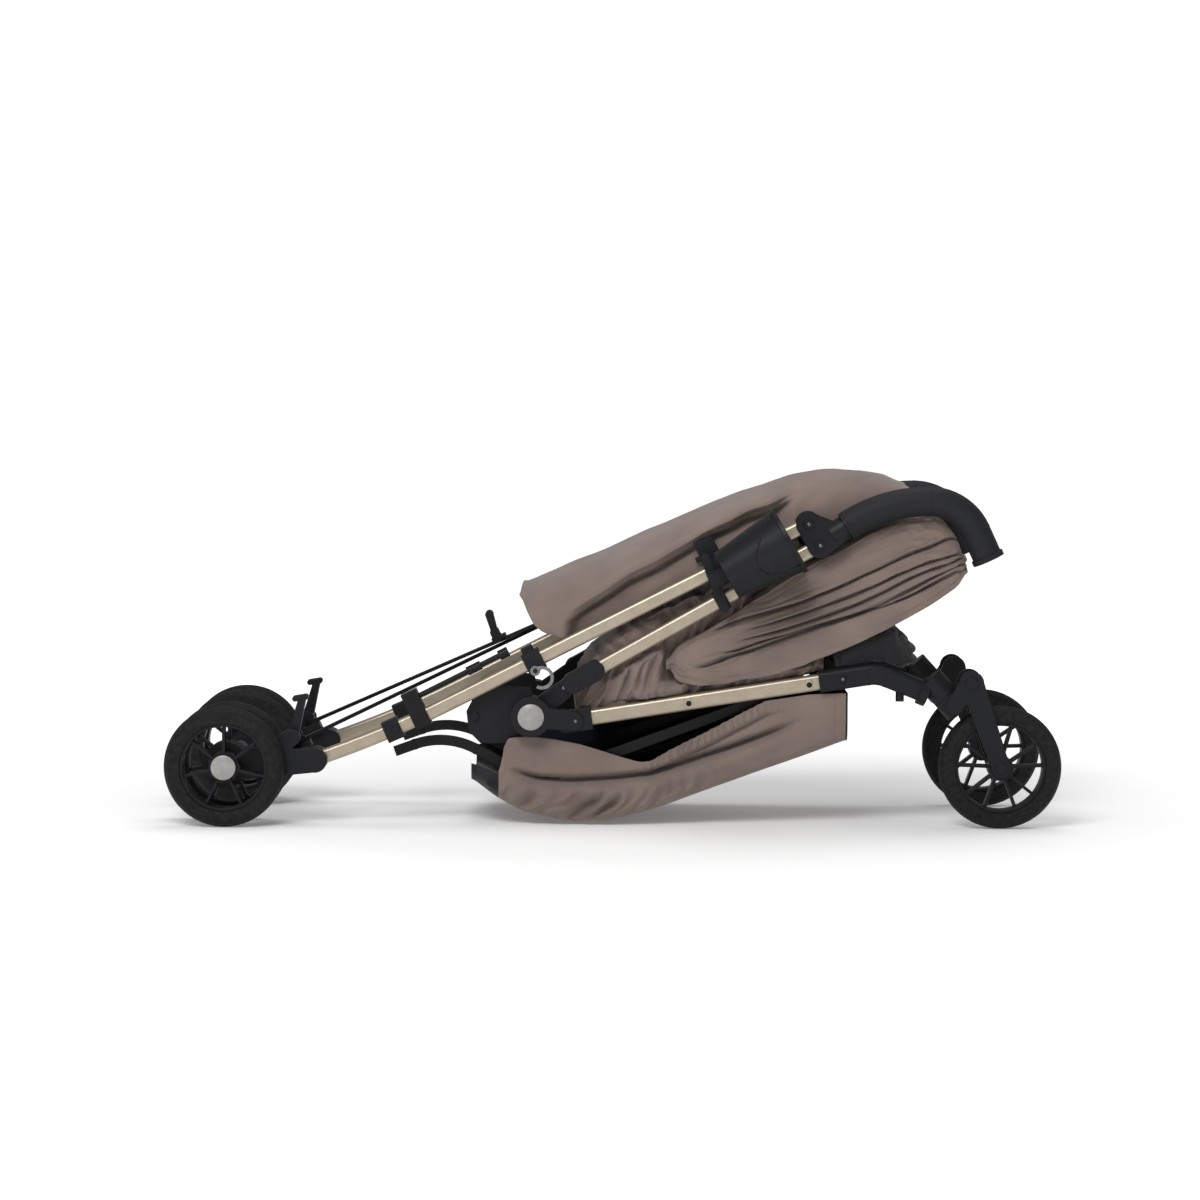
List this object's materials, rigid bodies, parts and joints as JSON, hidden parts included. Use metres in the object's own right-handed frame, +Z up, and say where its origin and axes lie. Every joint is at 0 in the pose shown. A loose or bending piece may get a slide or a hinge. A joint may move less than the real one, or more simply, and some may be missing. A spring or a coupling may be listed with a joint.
{
  "type": "umbrella stroller",
  "caption": "Folded umbrella stroller with hooked foam grips, taupe hood and basket, champagne tubes, swivel front casters and a side cup holder",
  "frame": {"origin": "on the floor, midway between the ends of the folded stroller and in its middle plane", "axes": "+X from the rear wheels to the front wheels and handles, +Y to the left of the child, +Z up"},
  "size_m": [1.06, 0.372, 0.424],
  "materials": {
    "champagne_tube": "satin metallic lacquer",
    "black_plastic": "fine moulded grain",
    "black_bar": "black lacquer",
    "foam": "closed-cell foam",
    "tyre": "pebbled foam tyre",
    "steel": "bright zinc",
    "pale_cap": "smooth satin",
    "taupe_cloth": "close woven polyester",
    "dark_cloth": "ribbed mat"
  },
  "bodies": {
    "right_axle": {"right_rear_axle": "steel"},
    "right_leg": {"right_rear_leg": "champagne_tube", "right_rear_housing": "black_plastic", "right_leg_collar": "black_plastic", "lock_rod": "black_bar", "lock_collar": "black_plastic"},
    "right_outer_wheel": {"right_outer_rim": "black_plastic", "right_outer_tyre": "tyre", "right_rear_cap": "pale_cap"},
    "right_inner_wheel": {"right_inner_rim": "black_plastic", "right_inner_tyre": "tyre"},
    "right_brake": {"right_brake_lever": "black_plastic"},
    "right_bar": {"right_cross_bar": "black_bar"},
    "right_collar": {"right_cross_collar": "black_plastic"},
    "right_handle": {"right_handle_plate": "black_plastic", "right_handle_tube": "champagne_tube", "right_handle_grip": "foam"},
    "right_back": {"right_back_tube": "champagne_tube", "right_back_arm": "black_plastic", "cup_holder": "black_plastic", "hood": "taupe_cloth", "hood_flap": "taupe_cloth", "seat_cloth": "taupe_cloth"},
    "right_front": {"right_front_tube": "champagne_tube", "right_front_arm": "black_plastic", "right_hub_cap": "pale_cap", "right_front_casting": "black_plastic", "foot_mat": "dark_cloth"},
    "right_caster": {"right_caster_fork": "black_plastic"},
    "right_front_wheel": {"right_front_rim": "black_plastic", "right_front_tyre": "tyre"},
    "right_basket": {"right_basket_rod": "black_bar", "basket": "taupe_cloth"},
    "left_leg": {"left_rear_axle": "steel", "left_rear_leg": "champagne_tube", "left_rear_housing": "black_plastic", "left_leg_collar": "black_plastic"},
    "left_outer_wheel": {"left_outer_rim": "black_plastic", "left_outer_tyre": "tyre", "left_rear_cap": "pale_cap"},
    "left_inner_wheel": {"left_inner_rim": "black_plastic", "left_inner_tyre": "tyre"},
    "left_brake": {"left_brake_lever": "black_plastic"},
    "left_bar": {"left_cross_bar": "black_bar"},
    "left_collar": {"left_cross_collar": "black_plastic"},
    "left_handle": {"left_handle_plate": "black_plastic", "left_handle_tube": "champagne_tube", "left_handle_grip": "foam"},
    "left_back": {"left_back_tube": "champagne_tube", "left_back_arm": "black_plastic"},
    "left_front": {"left_front_tube": "champagne_tube", "left_front_arm": "black_plastic", "left_hub_cap": "pale_cap", "left_front_casting": "black_plastic"},
    "left_caster": {"left_caster_fork": "black_plastic"},
    "left_front_wheel": {"left_front_rim": "black_plastic", "left_front_tyre": "tyre"},
    "left_basket": {"left_basket_rod": "black_bar"},
    "hook": {"lock_hook": "steel"},
    "pedal": {"fold_pedal": "black_plastic"}
  },
  "joints": [
    {"name": "unfold", "type": "hinge", "parent": "right_leg", "child": "right_handle", "pos_m": [0.227, -0.112, 0.36], "axis": [0, -1, 0], "range_deg": [0, 67.4], "deforming": ["hood", "hood_flap", "seat_cloth", "basket", "foot_mat"]},
    {"name": "right_leg_turn", "type": "hinge", "parent": "right_axle", "child": "right_leg", "pos_m": [-0.459, -0.112, 0.071], "axis": [0, -1, 0], "range_deg": [0, 57.61]},
    {"name": "right_back_turn", "type": "hinge", "parent": "right_handle", "child": "right_back", "pos_m": [0.24087, -0.112, 0.33499], "axis": [0, -1, 0], "range_deg": [-35.11, 0]},
    {"name": "right_front_turn", "type": "hinge", "parent": "right_back", "child": "right_front", "pos_m": [-0.099, -0.112, 0.13], "axis": [0, -1, 0], "range_deg": [-132.41, 0]},
    {"name": "right_basket_turn", "type": "hinge", "parent": "right_front", "child": "right_basket", "pos_m": [0.23194, -0.0915, 0.17127], "axis": [0, -1, 0], "range_deg": [0, 37.51]},
    {"name": "left_leg_widen", "type": "slide", "parent": "right_leg", "child": "left_leg", "axis": [0, 1, 0], "range_m": [0, 0.1701]},
    {"name": "left_handle_widen", "type": "slide", "parent": "right_handle", "child": "left_handle", "axis": [0, 1, 0], "range_m": [0, 0.1701]},
    {"name": "left_back_widen", "type": "slide", "parent": "right_back", "child": "left_back", "axis": [0, 1, 0], "range_m": [0, 0.1701]},
    {"name": "left_front_widen", "type": "slide", "parent": "right_front", "child": "left_front", "axis": [0, 1, 0], "range_m": [0, 0.1701]},
    {"name": "left_basket_widen", "type": "slide", "parent": "right_basket", "child": "left_basket", "axis": [0, 1, 0], "range_m": [0, 0.1701]},
    {"name": "right_bar_turn", "type": "hinge", "parent": "right_leg", "child": "right_bar", "pos_m": [-0.3719, -0.085, 0.09512], "axis": [-0.4226, 0, 0.9063], "range_deg": [0, 20.09]},
    {"name": "left_bar_turn", "type": "hinge", "parent": "left_leg", "child": "left_bar", "pos_m": [-0.3719, 0.085, 0.09512], "axis": [-0.4226, 0, 0.9063], "range_deg": [-20.09, 0]},
    {"name": "right_collar_slide", "type": "slide", "parent": "right_leg", "child": "right_collar", "axis": [0.891, 0, 0.454], "range_m": [-0.09032, 0]},
    {"name": "left_collar_slide", "type": "slide", "parent": "left_leg", "child": "left_collar", "axis": [0.891, 0, 0.454], "range_m": [-0.09032, 0]},
    {"name": "right_outer_wheel_spin", "type": "hinge", "parent": "right_axle", "child": "right_outer_wheel", "pos_m": [-0.459, -0.1465, 0.071], "axis": [0, 1, 0], "continuous": true},
    {"name": "right_inner_wheel_spin", "type": "hinge", "parent": "right_axle", "child": "right_inner_wheel", "pos_m": [-0.459, -0.0775, 0.071], "axis": [0, 1, 0], "continuous": true},
    {"name": "left_outer_wheel_spin", "type": "hinge", "parent": "left_leg", "child": "left_outer_wheel", "pos_m": [-0.459, 0.1465, 0.071], "axis": [0, 1, 0], "continuous": true},
    {"name": "left_inner_wheel_spin", "type": "hinge", "parent": "left_leg", "child": "left_inner_wheel", "pos_m": [-0.459, 0.0775, 0.071], "axis": [0, 1, 0], "continuous": true},
    {"name": "right_brake_press", "type": "hinge", "parent": "right_leg", "child": "right_brake", "pos_m": [-0.3809, -0.112, 0.10412], "axis": [0, 1, 0], "range_deg": [0, 25]},
    {"name": "right_caster_swivel", "type": "hinge", "parent": "right_front", "child": "right_caster", "pos_m": [0.38699, -0.112, 0.16186], "axis": [0.6756, 0, -0.7373], "continuous": true},
    {"name": "right_front_wheel_spin", "type": "hinge", "parent": "right_caster", "child": "right_front_wheel", "pos_m": [0.457, -0.112, 0.073], "axis": [0, 1, 0], "continuous": true},
    {"name": "left_brake_press", "type": "hinge", "parent": "left_leg", "child": "left_brake", "pos_m": [-0.3809, 0.112, 0.10412], "axis": [0, 1, 0], "range_deg": [0, 25]},
    {"name": "left_caster_swivel", "type": "hinge", "parent": "left_front", "child": "left_caster", "pos_m": [0.38699, 0.112, 0.16186], "axis": [0.6756, 0, -0.7373], "continuous": true},
    {"name": "left_front_wheel_spin", "type": "hinge", "parent": "left_caster", "child": "left_front_wheel", "pos_m": [0.457, 0.112, 0.073], "axis": [0, 1, 0], "continuous": true},
    {"name": "hook_turn", "type": "hinge", "parent": "right_leg", "child": "hook", "pos_m": [-0.09391, -0.125, 0.18471], "axis": [0, -1, 0], "range_deg": [0, 60]},
    {"name": "pedal_press", "type": "hinge", "parent": "left_bar", "child": "pedal", "pos_m": [-0.14557, 0, 0.22163], "axis": [0, -1, 0], "range_deg": [0, 30]}
  ],
  "couplings": [
    {"joint": "right_leg_turn", "follows": "unfold", "ratio": 0.8546},
    {"joint": "right_back_turn", "follows": "unfold", "ratio": -0.52077},
    {"joint": "right_front_turn", "follows": "unfold", "ratio": -1.9644},
    {"joint": "right_basket_turn", "follows": "unfold", "ratio": 0.55638},
    {"joint": "left_leg_widen", "follows": "unfold", "m_per_rad": 0.14452},
    {"joint": "left_handle_widen", "follows": "unfold", "m_per_rad": 0.14452},
    {"joint": "left_back_widen", "follows": "unfold", "m_per_rad": 0.14452},
    {"joint": "left_front_widen", "follows": "unfold", "m_per_rad": 0.14452},
    {"joint": "left_basket_widen", "follows": "unfold", "m_per_rad": 0.14452},
    {"joint": "right_bar_turn", "follows": "unfold", "ratio": 0.29797},
    {"joint": "left_bar_turn", "follows": "unfold", "ratio": -0.29797},
    {"joint": "right_collar_slide", "follows": "unfold", "m_per_rad": -0.076771},
    {"joint": "left_collar_slide", "follows": "unfold", "m_per_rad": -0.076771}
  ]
}
